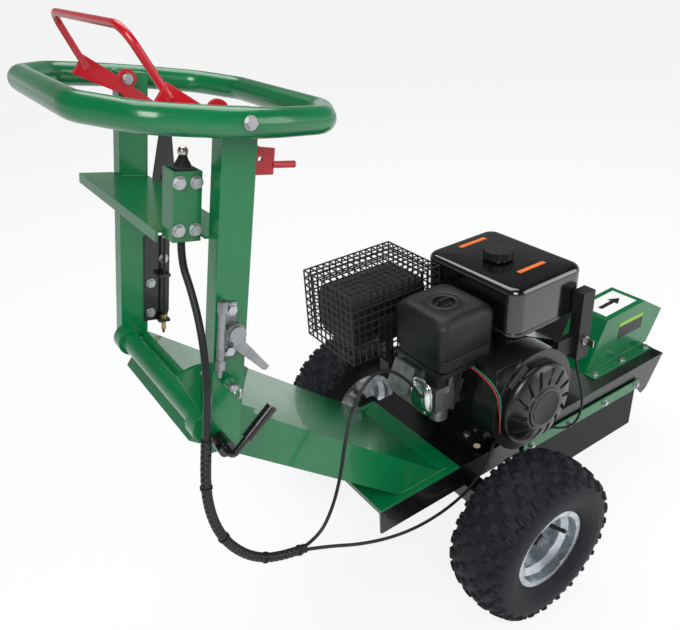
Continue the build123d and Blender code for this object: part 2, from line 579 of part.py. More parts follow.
def fuel_cap():
    """The screw cap of the fuel tank, with its plug in the neck."""
    cx, cy = CAP_AT
    cap = along_z(cx, cy, TANK_TOP + 6 + GAP, TANK_TOP + 26, CAP_R)
    for k in range(10):
        a = k * pi / 5
        cap -= along_z(cx + (CAP_R + 2) * cos(a), cy + (CAP_R + 2) * sin(a), TANK_TOP, TANK_TOP + 40, 4.5)
    return cap + along_z(cx, cy, TANK_TOP - 12, TANK_TOP + 8, 19 - GAP)


def control_box():
    """The switch panel on the engine's right front corner, under the tank."""
    x, y, z = CONTROL
    body = block(x, x + PANEL_L, y, y + PANEL_T, z, z + PANEL_H)
    body = fillet(body.edges().filter_by(Axis.Y), 5)
    body -= along_y(x + PANEL_L / 2, z + KEY_UP, y - 9, y + 12, 6 + RUNNING)
    arm = block(x - 56, x + 1, y + 14, y + PANEL_T, z + 18, z + 68) - along_y(CRANK_X, CRANK_H, y, y + 90,
            SHROUD_R)
    return body + arm


def key_switch():
    """The engine key in its barrel."""
    x, y, z = CONTROL
    mid, up = x + PANEL_L / 2, z + KEY_UP
    barrel = along_y(mid, up, y - 4, y + 10, 6)
    return barrel + along_y(mid, up, y - 6, y - GAP, 11) + block(mid - 1.5, mid + 1.5, y - 28, y - 5,
            up - 9, up + 9)


# ================================================================ handle
def post(side):
    """A rectangular steel post, closed at its foot round the fold pin, with its collar."""
    y0, y1 = sorted((side * POST_IN, side * POST_OUT))
    top = RING_H + POST_ABOVE_BAR
    body = block(POST_REAR, POST_FRONT, y0, y1, -POST_FOOT, top)
    wall = 3
    body -= block(POST_REAR + wall, POST_FRONT - wall, y0 + wall, y1 - wall, 40, top - 40)
    ya, yb = sorted((side * (BEAM_LEN / 2 + GAP), side * (POST_IN + 1)))
    body += along_y(0, 0, ya, yb, COLLAR_R)
    body -= along_y(0, 0, -300, 300, PIN_R)
    if side < 0:
        body += hex_bar_y(LOCK_FWD, LOCK_H, -POST_OUT - LOCK_BUSH, -POST_OUT + 1, 11)
    body -= along_y(LOCK_FWD, LOCK_H, -300, -100, LOCK_PIN_R + RUNNING * 2)
    body -= along_y(0, BAIL_AXIS_H, -300, 300, BAIL_PIN_R)
    boss = along_y(0, RING_H, side * (POST_OUT - 1), side * (RING_HALF_W - RING_R + 6), 15)
    return HANDLE * (body + boss - along_y(0, BAIL_AXIS_H, -300, 300, BAIL_PIN_R)) - ring_envelope()


def ring_path():
    """The ring's centre line in the handle frame: an oblong hexagon with round corners."""
    mid = (RING_BACK + RING_AHEAD) / 2
    z = RING_H
    right = [(RING_BACK, -150), (RING_BACK + 62, -238), (mid, -RING_HALF_W - 8), (RING_AHEAD - 52, -226),
            (RING_AHEAD, -140)]
    left = [(x, -y) for x, y in reversed(right)]
    points = [(x, y, z) for x, y in right + left]
    return FilletPolyline(*points, radius=[60, 60, 240, 60, 60, 60, 60, 240, 60, 60], close=True)


def ring_envelope():
    """The ring bar's outside, placed in the deck frame."""
    path = ring_path()
    return HANDLE * sweep(Plane(origin=path @ 0, z_dir=path % 0) * Circle(RING_R), path=path)


def ring():
    """The closed ring bar that the operator holds, bored across for the bail's bolts."""
    path = ring_path()
    section = Circle(RING_R) - Circle(RING_R - RING_WALL)
    tube = HANDLE * sweep(Plane(origin=path @ 0, z_dir=path % 0) * section, path=path)
    return tube - HANDLE * along_y(0, BAIL_AXIS_H, -320, 320, BAIL_PIN_R)


def shelf():
    """The folded shelf between the posts, with a lip behind and a gusset at the right post."""
    top = SHELF_H
    left_end = POST_OUT + 6
    plate = block(SHELF_BACK, POST_REAR, SWITCH_Y1, left_end, top - SHELF_T, top)
    plate += block(POST_REAR, 44, -POST_IN, POST_IN, top - SHELF_T, top)
    plate += block(POST_REAR - 6, POST_REAR, -POST_IN, SWITCH_Y1, top - SHELF_T, top)
    plate += block(SHELF_BACK, SHELF_BACK + SHELF_T, SWITCH_Y1, left_end, top - 18, top)
    gusset = side_plate([(POST_REAR + 4, top - SHELF_T), (40, top - SHELF_T), (40, top - 34)], -POST_IN,
            -POST_IN + 4)
    return HANDLE * (plate + gusset)


def switch_box():
    """The open-topped steel box for the stop switch, with a bushing plate across its mouth."""
    x0, y0, z0 = SWITCH_X0, SWITCH_Y0, SWITCH_H0
    x1, y1, z1 = x0 + SWITCH_BOX[0], y0 + SWITCH_BOX[1], z0 + SWITCH_BOX[2]
    body = block(x0, x1, y0, y1, z0, z1) - block(x0 + 2, x1 - 2, y0 + 2, y1 - 2, z0 + 2, z1 + 1)
    body += block(x0 + 1, x1 - 1, y0 + 1, y1 - 1, z1 - 12, z1 - 6)
    cx, cy = (x0 + x1) / 2, (y0 + y1) / 2
    body -= along_z(cx, cy, z1 - 20, z1, 4.5 + RUNNING)
    return HANDLE * (body - along_z(cx, cy, z0 - 5, z0 + 5, CONDUIT_R + GAP))


def kill_plunger():
    """The stop switch's nickel plunger with its ball top."""
    cx = SWITCH_X0 + SWITCH_BOX[0] / 2
    cy = SWITCH_Y0 + SWITCH_BOX[1] / 2
    z1 = SWITCH_H0 + SWITCH_BOX[2]
    stem = along_z(cx, cy, z1 - 30, z1 + 22, 4.5)
    return HANDLE * (stem + Pos(cx, cy, z1 + 24) * Sphere(8))


def cable_bracket():
    """The black bracket inside the left post that anchors the clutch cable."""
    y1 = POST_IN
    plate = side_plate([(POST_FRONT - 8, 30), (82, 30), (88, 48), (88, 200), (84, 214), (POST_FRONT - 8,
            214)], y1 - 4, y1)
    plate += block(60, 84, CABLE_Y - 6, y1 - 4, 130, 136) + block(60, 84, CABLE_Y - 6, y1 - 4, 30, 36)
    return HANDLE * (plate - along_z(CABLE_FWD, CABLE_Y, 0, 300, 3.2))


def handle_bolts():
    """Bolts of the switch box, the cable bracket, the throttle and the bail, as separate solids."""
    bolts = []
    for x in (SWITCH_X0 + 9, SWITCH_X0 + SWITCH_BOX[0] - 9):
        for z in (SWITCH_H0 + 18, SWITCH_H0 + SWITCH_BOX[2] - 16):
            bolts.append(HANDLE * bolt_y(x, z, SWITCH_Y0, -1))
    for x, z in ((48, 48), (48, 114), (75, 165)):
        bolts.append(HANDLE * bolt_y(x, z, POST_IN - 4, -1))
    for x, z in ((12, 229), (12, 160)):
        bolts.append(HANDLE * bolt_y(x, z, -POST_OUT - 4, -1))
    return bolts


def bail_bolts():
    """The two long bolts the bail turns on, each through the ring, its boss and a post."""
    pins = []
    for side in (-1, 1):
        outer = side * (RING_HALF_W + RING_R - 1.5)
        inner = side * (POST_IN - 22)
        pin = along_y(0, BAIL_AXIS_H, inner, outer, BAIL_PIN_R)
        pin += bolt_y(0, BAIL_AXIS_H, outer, side)
        pin += bolt_y(0, BAIL_AXIS_H, side * (POST_IN - 16), -side)
        pins.append(HANDLE * pin)
    return pins


def bail():
    """The red hold-to-run bail: a bent rod between two long plates that turn on the bail bolts."""
    pieces = None
    for side in (-1, 1):
        ya, yb = sorted((side * (POST_IN - 8), side * (POST_IN - 14)))
        z = BAIL_AXIS_H
        outline = [(-96, z + 4), (-76, z + 36), (-24, z + 8), (70, z - 50), (96, z - 52), (96, z - 92),
                (58, z - 92), (-12, z - 26)]
        plate = side_plate(outline, ya, yb) + along_y(0, z, ya, yb, 17)
        plate -= along_y(0, z, -300, 300, BAIL_PIN_R + RUNNING)
        plate -= along_y(LINK_FWD, z + LINK_DROP, -300, 300, LINK_PIN_R + RUNNING)
        pieces = plate if pieces is None else pieces + plate
    stub = Rot(0, 90, 0) * Cylinder(5.5, 40)
    pieces += Pos(114, -POST_IN + 11, BAIL_AXIS_H - 77) * stub
    a = radians(BAIL_REST_DEG)
    tip = (-BAIL_R * cos(a), BAIL_AXIS_H + BAIL_R * sin(a))
    foot_y, top_y = POST_IN - 11, BAIL_HALF_W
    points = [(-70, -foot_y, BAIL_AXIS_H + 14), (tip[0], -top_y, tip[1]), (tip[0], top_y, tip[1]), (-70,
            foot_y, BAIL_AXIS_H + 14)]
    path = FilletPolyline(*points, radius=34)
    pieces += sweep(Plane(origin=path @ 0, z_dir=path % 0) * Circle(BAIL_ROD_R), path=path)
    return HANDLE * pieces


def link_plate():
    """The flared black link that hangs from the bail's left plate and pulls the clutch cable."""
    z = BAIL_AXIS_H + LINK_DROP
    y1 = POST_IN - 14 - GAP
    outline = [(LINK_FWD - 8, z + 8), (LINK_FWD + 8, z + 8), (LINK_FWD + 20, 332), (LINK_FWD + 8, 318),
            (LINK_FWD - 10, 318), (LINK_FWD - 26, 332)]
    plate = side_plate(outline, y1 - 4, y1)
    plate += along_y(LINK_FWD, z, y1 - 10, y1, 9) + along_y(LINK_FWD, z, y1, y1 + 7, LINK_PIN_R)
    plate += bolt_y(LINK_FWD, 334, y1 - 4, -1)
    return HANDLE * plate


def throttle_body():
    """The twist-lever throttle: a long barrel along the right post, with its plate and hub."""
    y = -POST_OUT - 12
    plate = block(-2, 22, -POST_OUT - 4, -POST_OUT, 150, 240)
    barrel = along_z(-6, y, 150, 232, 6.5)
    barrel += Pos(-6, y, 230) * extrude(RegularPolygon(9, 6), amount=18)
    barrel += Pos(-6, y, 134) * extrude(RegularPolygon(9, 6), amount=16) + along_z(-6, y, 120, 134, 4)
    hub_y = -POST_OUT - 4
    disc = along_y(16, 193, hub_y, hub_y - 14, 16)
    bridge = block(-6, 16, -POST_OUT - 16, -POST_OUT - 4, 186, 200)
    return HANDLE * (plate + barrel + disc + bridge)


def throttle_lever():
    """The grey throttle lever, turning on the hub's face."""
    y1 = -POST_OUT - 18 - GAP
    arm = side_plate([(8, 186), (24, 186), (76, 128), (70, 122), (64, 124), (10, 172)], y1 - 5, y1)
    return HANDLE * (along_y(16, 193, y1 - 7, y1, 14) + arm)


def lock_plunger():
    """The spring plunger that locks the handle's angle: a pin, a collar and a pull ring."""
    collar = -POST_OUT - LOCK_BUSH - GAP - LOCK_TRAVEL
    pin = along_y(LOCK_FWD, LOCK_H, -POST_IN + 4.4, collar - 5, LOCK_PIN_R)
    pin += along_y(LOCK_FWD, LOCK_H, collar, collar - 4, 7)
    loop = Pos(LOCK_FWD, collar - 15, LOCK_H) * Rot(0, 90, 0) * Torus(11, 1.8)
    return HANDLE * (pin + loop)


def fold_pin():
    """The long pin the handle folds on; its right end carries the clamp's threaded boss."""
    return HANDLE * along_y(0, 0, -POST_OUT - 4, POST_OUT, PIN_R)


def clamp_crank():
    """The cranked clamp handle: a knurled boss on the fold axis, a bent arm and a plastic grip."""
    face = -POST_OUT - 4 - GAP
    boss = along_y(0, 0, face, face - 34, 14)
    out = face - 34
    path = FilletPolyline((0, out + 4, 0), (0, out - 20, 0), (60, out - 22, 72), radius=9)
    arm = sweep(Plane(origin=path @ 0, z_dir=path % 0) * Circle(6), path=path)
    tip = path @ 1
    along = path % 1
    grip = Plane(origin=tip - along * 58, z_dir=along) * extrude(Circle(9.5), amount=64)
    return HANDLE * (boss + arm + grip)


# ================================================================ cords


def in_handle(points):
    """Points of the handle frame, given in the deck frame."""
    a = radians(LEAN_DEG)
    return [(PIVOT_X + x * cos(a) + z * sin(a), y, PIVOT_H - x * sin(a) + z * cos(a)) for x, y, z in points]


if __name__ == "__main__":
    save("deck", deck())
    save("tongue", tongue())
    save("axle", axle())
    save("side_strips", *side_strips())
    save("side_skirts", *side_skirts())
    save("cutter_cover", cutter_cover())
    save("belt_guard", belt_guard())
    save("cutter_bearings", *[bearing_block(*span) for span in BEARINGS])
    save("chassis_bolts", *chassis_bolts())
    save("drive_belts", *drive_belts())
    for name, side in (("right", -1), ("left", 1)):
        save(f"hub_{name}", hub(side))
        save(f"rim_{name}", rim(side))
        save(f"tyre_{name}", tyre(side))
        save(f"post_{name}", post(side))
    save("cutter_disc", cutter_disc())
    save("cutter_teeth", *cutter_teeth())
    save("cutter_shaft", along_y(CUTTER_X, CUTTER_Z, BEARINGS[0][0] - 4, BELT_Y + 22, CUTTER_SHAFT_R))
    save("cutter_pulley", pulley(CUTTER_X, CUTTER_Z) - along_y(CUTTER_X, CUTTER_Z, 0, 200, CUTTER_SHAFT_R))
    save("clutch_pulley", pulley(CRANK_X, CRANK_H) - along_y(CRANK_X, CRANK_H, 0, 200, CRANK_R))
    save("crankshaft", crankshaft())
    for part in (crankcase, cylinder, fan_shroud, recoil_cover, starter_grip, carburettor, choke_lever,
                 filter_base, filter_cover, filter_knob, muffler, muffler_cage, fuel_tank, fuel_cap,
                         control_box,
                 key_switch, ring, shelf, switch_box, kill_plunger, cable_bracket, bail, link_plate,
                         throttle_body,
                 throttle_lever, lock_plunger, fold_pin, clamp_crank):
        save(part.__name__, part())
    save("handle_bolts", *handle_bolts())
    save("bail_bolts", *bail_bolts())
    save("switch_conduit", cord(in_handle(CONDUIT_POINTS), CONDUIT_R))
    save("wiring_loom", cord(LOOM_POINTS, 9))
    save("throttle_cable", cord(THROTTLE_POINTS, 3.5))
    save("stop_wire", cord(KILL_POINTS, 3.5))
    save("key_wire", cord(KEY_POINTS, 3))
    save("clutch_cable", HANDLE * along_z(CABLE_FWD, CABLE_Y, 4, 318, 2.5))
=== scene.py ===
# %% [markdown]
# A walk-behind stump grinder: a steel deck on two knobbly tyres carries an engine and a toothed cutter
# wheel, and the operator holds a ring handle on two posts. The steel parts come ready-shaped in a fixed
# frame. This lesson gives each of them its finish, and makes what a solid model leaves plain: tread,
# cords, labels, welds and trim.

# %% Load the frame
from math import cos, pi, radians, sin

import bmesh
import bpy
import numpy as np
from mathutils import Euler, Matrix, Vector


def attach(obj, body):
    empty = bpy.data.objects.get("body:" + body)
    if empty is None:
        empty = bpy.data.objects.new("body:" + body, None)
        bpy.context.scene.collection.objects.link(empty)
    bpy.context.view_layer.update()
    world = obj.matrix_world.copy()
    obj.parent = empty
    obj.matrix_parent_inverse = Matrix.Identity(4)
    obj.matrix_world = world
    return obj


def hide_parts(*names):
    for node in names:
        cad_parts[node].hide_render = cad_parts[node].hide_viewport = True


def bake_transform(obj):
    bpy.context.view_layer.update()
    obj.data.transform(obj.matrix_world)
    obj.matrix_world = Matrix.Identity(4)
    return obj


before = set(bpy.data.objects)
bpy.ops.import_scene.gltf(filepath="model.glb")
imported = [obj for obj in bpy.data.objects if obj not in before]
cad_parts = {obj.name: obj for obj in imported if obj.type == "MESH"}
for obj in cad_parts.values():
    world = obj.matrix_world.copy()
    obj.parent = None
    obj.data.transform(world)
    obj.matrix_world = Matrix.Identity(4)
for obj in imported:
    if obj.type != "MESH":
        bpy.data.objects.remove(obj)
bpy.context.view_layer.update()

# %% [markdown]
# Makers measure a machine from a part they can reach. Here lengths are in millimetres from the rear edge
# and top of the deck, and one function turns them into the metres that Blender uses. The handle leans
# back a little, so it has its own frame: forward, left and along the posts from the fold pin.

# %% Deck and handle frames
MIDDLE_X, DECK_TOP = 328.475, 306
PIVOT_X, PIVOT_H, LEAN = -368, 440, radians(11.3)


def deck(points):
    """Millimetres from the deck's rear edge and top to metres: (p - shift) / 1000."""
    return (np.asarray(points, float) - [MIDDLE_X, 0, -DECK_TOP]) / 1000


def handle(points):
    """Turns (forward, left, along the post) by the lean about the fold pin, then to metres."""
    p = np.asarray(points, float)
    x = PIVOT_X + p[..., 0] * cos(LEAN) + p[..., 2] * sin(LEAN)
    z = PIVOT_H - p[..., 0] * sin(LEAN) + p[..., 2] * cos(LEAN)
    return deck(np.stack([x, p[..., 1], z], -1))


def handle_mm(point):
    """The same turn for one point, in the deck's millimetres."""
    u, v, w = point
    return (PIVOT_X + u * cos(LEAN) + w * sin(LEAN), v, PIVOT_H - u * sin(LEAN) + w * cos(LEAN))


up_post = (sin(LEAN), 0, cos(LEAN))

# %% [markdown]
# A finish is a small network of nodes. Writing it as sums and products keeps it readable, so one class
# stands for a socket and turns each operator into a Math node. Another class holds the material and adds
# any other node.

# %% Shader sums
class Wire:
    """A socket's value. An operator on it adds the Math node of the same name."""

    def __init__(self, finish, socket):
        self.finish, self.socket = finish, socket

    def _math(self, operation, a, b=0.0):
        return self.finish.node("Math", {"operation": operation}, {0: a, 1: b})

    def __add__(self, other):
        return self._math("ADD", self, other)

    def __radd__(self, other):
        return self._math("ADD", other, self)

    def __sub__(self, other):
        return self._math("SUBTRACT", self, other)

    def __rsub__(self, other):
        return self._math("SUBTRACT", other, self)

    def __mul__(self, other):
        return self._math("MULTIPLY", self, other)

    def __rmul__(self, other):
        return self._math("MULTIPLY", other, self)

    def __pow__(self, other):
        return self._math("POWER", self, other)

    def above(self, low, high):
        """0 below low, 1 above high, and a straight ramp between."""
        return self.finish.node("MapRange", {"clamp": True}, {0: self, 1: low, 2: high})


class Finish:
    """A material whose nodes are added one by one."""

    def __init__(self, name):
        self.material = bpy.data.materials.new(name)
        self.material.use_nodes = True
        self.tree = self.material.node_tree
        self.tree.nodes.clear()

    def node(self, kind, settings=None, sockets=None, out=0):
        """Adds a node: settings first, then the value or link of each socket."""
        made = self.tree.nodes.new("ShaderNode" + kind)
        for key, value in (settings or {}).items():
            setattr(made, key, value)
        for key, value in (sockets or {}).items():
            if isinstance(value, Wire):
                self.tree.links.new(value.socket, made.inputs[key])
            else:
                made.inputs[key].default_value = value
        return Wire(self, made.outputs[out]) if len(made.outputs) else None

    def place(self):
        return self.node("TexCoord", out=3)

    def noise(self, scale, detail=3.0):
        return self.node("TexNoise", {}, {"Vector": self.place(), "Scale": scale, "Detail": detail})

    def mix(self, share, a, b):
        """Colour a where share is 0 and b where it is 1."""
        return self.node("Mix", {"data_type": "RGBA"}, {0: share, 6: a, 7: b}, out=2)

    def rounded(self, radius):
        """The normal that a softly rounded edge of that radius would have, and a mask of such edges."""
        soft = self.node("Bevel", {"samples": 4}, {"Radius": radius})
        flat = self.node("NewGeometry", out=1)
        along = self.node("VectorMath", {"operation": "DOT_PRODUCT"}, {0: soft, 1: flat}, out=1)
        return soft, (1 - along).above(0.01, 0.16)

    def surface(self, colour, roughness, relief=None, depth=0.0, normal=None, **fixed):
        """The shader itself. Relief is a height; what is fixed is set on the shader's own sockets."""
        sockets = {"Base Color": colour, "Roughness": roughness}
        if relief is not None:
            bump = {"Height": relief, "Strength": 1.0, "Distance": depth}
            sockets["Normal"] = self.node("Bump", {}, {**bump, **({"Normal": normal} if normal else {})})
        elif normal is not None:
            sockets["Normal"] = normal
        sockets.update({key.replace("_", " "): value for key, value in fixed.items()})
        shader = self.node("BsdfPrincipled", {}, sockets)
        self.node("OutputMaterial", {}, {"Surface": shader})
        return self.material


# %% [markdown]
# The frame is sprayed with gloss enamel. Sprayed paint dries with a fine ripple called orange peel, pools
# a shade darker in places, and thins on sharp edges. A clear coat on top carries the bright reflections.

# %% Sprayed enamel
def enamel(name, colour, deep, edge, roughness=0.2, coat=0.35):
    """Enamel: base colour drifting towards a deeper one, orange peel, and paler worn edges."""
    f = Finish(name)
    soft, rim = f.rounded(0.0018)
    cloud = f.noise(7.0, 4.0)
    specks = f.noise(420.0, 2.0).above(0.70, 0.78)
    body = f.mix(cloud.above(0.35, 0.7), (*colour, 1), (*deep, 1))
    body = f.mix(specks * 0.25, body, (*edge, 1))
    body = f.mix(rim * (0.2 + 0.4 * f.noise(60.0)), body, (*edge, 1))
    peel = f.noise(260.0, 2.0) + 0.5 * f.noise(900.0, 1.0)
    return f.surface(body, roughness + 0.10 * cloud, peel, 0.00012, soft, Coat_Weight=coat, Coat_Roughness=0.05,
                     Specular_IOR_Level=0.5)


green = enamel("green_enamel", (0.0, 0.150, 0.045), (0.0, 0.115, 0.034), (0.01, 0.22, 0.075))
black = enamel("black_enamel", (0.004, 0.004, 0.005), (0.002, 0.002, 0.003), (0.03, 0.03, 0.034))
red = enamel("red_enamel", (0.48, 0.003, 0.012), (0.38, 0.002, 0.009), (0.62, 0.05, 0.06))
gloss_black = enamel("tank_enamel", (0.004, 0.004, 0.005), (0.003, 0.003, 0.003), (0.03, 0.03, 0.03), 0.06, 1.0)
engine_black = enamel("engine_paint", (0.006, 0.006, 0.006), (0.003, 0.003, 0.004), (0.04, 0.04, 0.04),
                      0.26, 0.2)
print("enamels made")


# %% [markdown]
# Fixings are zinc plated, the wheel dishes are galvanised, and the carburettor and cylinder are bare
# castings. Galvanising freezes into flat crystals, so its colour changes in patches. A casting keeps the
# grain of its mould.

# %% Bare metals
def plated(name, colour, roughness, grain=500.0, depth=0.00004):
    """Plating: a metal whose gloss wanders, with a faint grain."""
    f = Finish(name)
    soft, rim = f.rounded(0.0008)
    cloud = f.noise(40.0, 4.0)
    dull = tuple(0.6 * c for c in colour)
    body = f.mix(cloud.above(0.45, 0.8), (*colour, 1), (*dull, 1))
    return f.surface(body, roughness + 0.2 * cloud, f.noise(grain, 2.0), depth, soft, Metallic=1.0)


def galvanised(name):
    """Zinc crystals: each cell of the pattern has its own shade and gloss."""
    f = Finish(name)
    soft, rim = f.rounded(0.001)
    cells = f.node("TexVoronoi", {}, {"Vector": f.place(), "Scale": 90.0}, out=1)
    shade = f.node("SeparateColor", {}, {0: cells})
    body = f.mix(shade, (0.62, 0.65, 0.68, 1), (0.44, 0.48, 0.52, 1))
    return f.surface(body, 0.22 + 0.16 * shade, f.noise(160.0, 2.0), 0.00008, soft, Metallic=1.0)


zinc = plated("zinc_plate", (0.50, 0.51, 0.52), 0.24)
yellow_zinc = plated("yellow_zinc_plate", (0.55, 0.44, 0.16), 0.25)
steel = plated("bright_steel", (0.58, 0.58, 0.58), 0.2)
dark_steel = plated("oiled_steel", (0.17, 0.165, 0.16), 0.34, 260.0, 0.0002)
cast = plated("cast_alloy", (0.34, 0.35, 0.36), 0.38, 700.0, 0.0002)
chrome = plated("chromed_steel", (0.72, 0.74, 0.76), 0.05)
nickel = plated("nickel_plate", (0.62, 0.58, 0.50), 0.14)
rim_metal = galvanised("galvanised_steel")


# %% [markdown]
# Moulded plastic has an even leathery grain, pressed into it by the mould. Rubber is matt, and in use its
# high spots go a little grey. The wire of the muffler cage is painted, but heat has dulled it.

# %% Plastics and rubber
def moulded(name, colour, roughness, scale, depth, grey=0.03, shine=0.35):
    """A dull solid: fine grain in the normal, and a paler tone on high spots and edges."""
    f = Finish(name)
    soft, rim = f.rounded(0.0012)
    cloud = f.noise(18.0, 5.0)
    grain = f.noise(scale, 2.0)
    body = f.mix(cloud.above(0.4, 0.75) * 0.6, (*colour, 1), (*(c + 0.4 * grey for c in colour), 1))
    body = f.mix(rim * 0.5, body, (*(c + grey for c in colour), 1))
    return f.surface(body, roughness + 0.12 * cloud, grain, depth, soft, Specular_IOR_Level=shine)


plastic = moulded("grained_plastic", (0.007, 0.007, 0.008), 0.4, 1500.0, 0.00016)
rubber = moulded("black_rubber", (0.010, 0.010, 0.011), 0.6, 800.0, 0.0001)
tyre_rubber = moulded("tyre_rubber", (0.006, 0.007, 0.010), 0.5, 500.0, 0.0002, 0.015, 0.22)
sheath = moulded("cable_sheath", (0.007, 0.007, 0.008), 0.34, 900.0, 0.00006)
wire_paint = moulded("cage_wire", (0.008, 0.008, 0.008), 0.4, 900.0, 0.00008, 0.05)
heat_black = moulded("heat_paint", (0.006, 0.006, 0.006), 0.42, 420.0, 0.0003, 0.03)

# %% Finishes of the frame's own pieces
FINISHES = {
    green: "tongue side_strips cutter_cover post_right post_left ring shelf switch_box",
    black: "deck axle belt_guard cable_bracket link_plate clamp_crank",
    red: "bail",
    gloss_black: "fuel_tank",
    engine_black: "crankcase fan_shroud recoil_cover",
    plastic: "starter_grip filter_base filter_cover filter_knob fuel_cap control_box",
    rubber: "side_skirts drive_belts",
    tyre_rubber: "tyre_right tyre_left",
    zinc: "chassis_bolts hub_right hub_left choke_lever lock_plunger handle_bolts bail_bolts",
    rim_metal: "rim_right rim_left",
    dark_steel: "cutter_disc cutter_teeth",
    heat_black: "muffler",
    steel: "cutter_shaft crankshaft fold_pin key_switch",
    cast: "cutter_pulley clutch_pulley cutter_bearings cylinder carburettor throttle_body throttle_lever",
    wire_paint: "muffler_cage",
    nickel: "kill_plunger",
    sheath: "switch_conduit wiring_loom throttle_cable stop_wire key_wire clutch_cable",
}
for finish, names in FINISHES.items():
    for name in names.split():
        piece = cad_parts[name]
        piece.data.materials.clear()
        piece.data.materials.append(finish)
        weld = piece.modifiers.new("weld", "WELD")
        weld.merge_threshold = 0.00002
        split = piece.modifiers.new("creases", "EDGE_SPLIT")
        split.split_angle = radians(32)
        piece.data.polygons.foreach_set("use_smooth", np.ones(len(piece.data.polygons), bool))
print("finished", sum(len(names.split()) for names in FINISHES.values()), "frame pieces")


# %% [markdown]
# New pieces are surfaces over two parameters. A grid of points becomes a mesh once its rows are joined
# into four-sided faces, and a grid that closes on itself simply joins its last row to its first.

# %% Grid surfaces
def sheet_mesh(name, grid, body, finish, round_u=True, round_v=False, capped=False, smooth=True):
    """Joins grid[u, v] into quads: face (u, v) uses points (u, v), (u+1, v), (u+1, v+1), (u, v+1)."""
    nu, nv = grid.shape[:2]
    u = np.arange(nu if round_u else nu - 1)
    v = np.arange(nv if round_v else nv - 1)
    uu, vv = np.meshgrid(u, v, indexing="ij")
    u1, v1 = (uu + 1) % nu, (vv + 1) % nv
    quads = np.stack([uu * nv + vv, u1 * nv + vv, u1 * nv + v1, uu * nv + v1], -1).reshape(-1, 4)
    faces = [tuple(q) for q in quads.tolist()]
    if capped:
        faces.append(tuple(int(i) * nv for i in range(nu - 1, -1, -1)))
        faces.append(tuple(int(i) * nv + nv - 1 for i in range(nu)))
    mesh = bpy.data.meshes.new(name)
    mesh.from_pydata(grid.reshape(-1, 3).tolist(), [], faces)
    shell = bmesh.new()
    shell.from_mesh(mesh)
    bmesh.ops.recalc_face_normals(shell, faces=shell.faces)
    shell.to_mesh(mesh)
    shell.free()
    mesh.polygons.foreach_set("use_smooth", np.full(len(mesh.polygons), smooth))
    mesh.materials.append(finish)
    mesh.update()
    piece = bpy.data.objects.new(name, mesh)
    bpy.context.scene.collection.objects.link(piece)
    if isinstance(body, str):
        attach(piece, body)
    else:
        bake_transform(piece)
    return piece


def turned(name, centre, axis, profile, body, finish, steps=48, place=deck):
    """A profile of (along, radius) turned about an axis: centre + along*axis + radius*(cos t, sin t)."""
    along, radius = np.asarray(profile, float).T
    t = np.linspace(0, 2 * pi, steps, endpoint=False)
    n = np.asarray(axis, float) / np.linalg.norm(axis)
    side = np.cross(n, [0.0, 0.0, 1.0] if abs(n[2]) < 0.9 else [1.0, 0.0, 0.0])
    side /= np.linalg.norm(side)
    up = np.cross(n, side)
    ring = np.cos(t)[:, None] * side + np.sin(t)[:, None] * up
    grid = np.asarray(centre, float) + along[None, :, None] * n + radius[None, :, None] * ring[:, None, :]
    return crease(sheet_mesh(name, place(grid), body, finish, capped=True))


def crease(piece, angle=35):
    """Keeps edges sharper than the angle crisp under smooth shading."""
    split = piece.modifiers.new("creases", "EDGE_SPLIT")
    split.split_angle = radians(angle)
    return piece


# %% [markdown]
# The cords come early, since they are the one thing that can lie outside the frame. Each is one smooth
# line through the air: a NURBS curve pulled towards the same points that its solid follows.

# %% Cords
CONDUIT = [(-44, -170, 328), (-44, -171, 292), (-36, -192, 252), (-31, -218, 200), (-29, -238, 140),
           (-28, -246, 76), (-28, -247, 14)]
LOOM = [(-392.8, -247, 458.7), (-404, -247, 402), (-411, -248, 344), (-407, -250, 284), (-389, -250, 226),
        (-352, -250, 170), (-300, -250, 132), (-240, -250, 118)]
THROTTLE = [(-239.5, -245.5, 118), (-204, -244, 122), (-166, -236, 160), (-136, -226, 214),
            (-110, -210, 272), (-74, -186, 326), (-14, -154, 356), (54, -126, 344), (108, -112, 300),
            (152, -106, 246), (176, -102, 200), (205, -100, 186)]
STOP = [(-239.5, -254.3, 118), (-190, -257, 96), (-120, -259, 56), (-36, -256, 18), (46, -250, -6),
        (128, -243, -14), (206, -234, -8), (266, -220, 10), (308, -204, 30), (338, -190, 50)]
KEY = [(594, -206, 195.9), (595, -208, 164), (602, -220, 122), (608, -230, 74), (606, -232, 26),
       (594, -222, -12), (572, -202, -24), (556, -178, -26)]


def route(name, points, radius):
    """One NURBS line of order 3 that ends on its first and last points, with a round section."""
    curve = bpy.data.curves.new(name, "CURVE")
    curve.dimensions = "3D"
    spline = curve.splines.new("NURBS")
    spline.points.add(len(points) - 1)
    spline.points.foreach_set("co", np.c_[points, np.ones(len(points))].ravel())
    spline.order_u = 3
    spline.use_endpoint_u = True
    curve.resolution_u = 12
    curve.bevel_depth = radius
    curve.bevel_resolution = 5
    curve.use_fill_caps = True
    curve.materials.append(sheath)
    cord = bpy.data.objects.new(name, curve)
    bpy.context.scene.collection.objects.link(cord)
    return cord


def centreline(points):
    """The points of the same NURBS line, read from a curve with no section."""
    bare = route("bare_line", points, 0.0)
    bpy.context.view_layer.update()
    mesh = bpy.data.meshes.new_from_object(bare.evaluated_get(bpy.context.evaluated_depsgraph_get()))
    line = np.zeros(len(mesh.vertices) * 3)
    mesh.vertices.foreach_get("co", line)
    bpy.data.objects.remove(bare)
    return line.reshape(-1, 3)


def length_of(line):
    return float(np.linalg.norm(np.diff(line, axis=0), axis=1).sum())


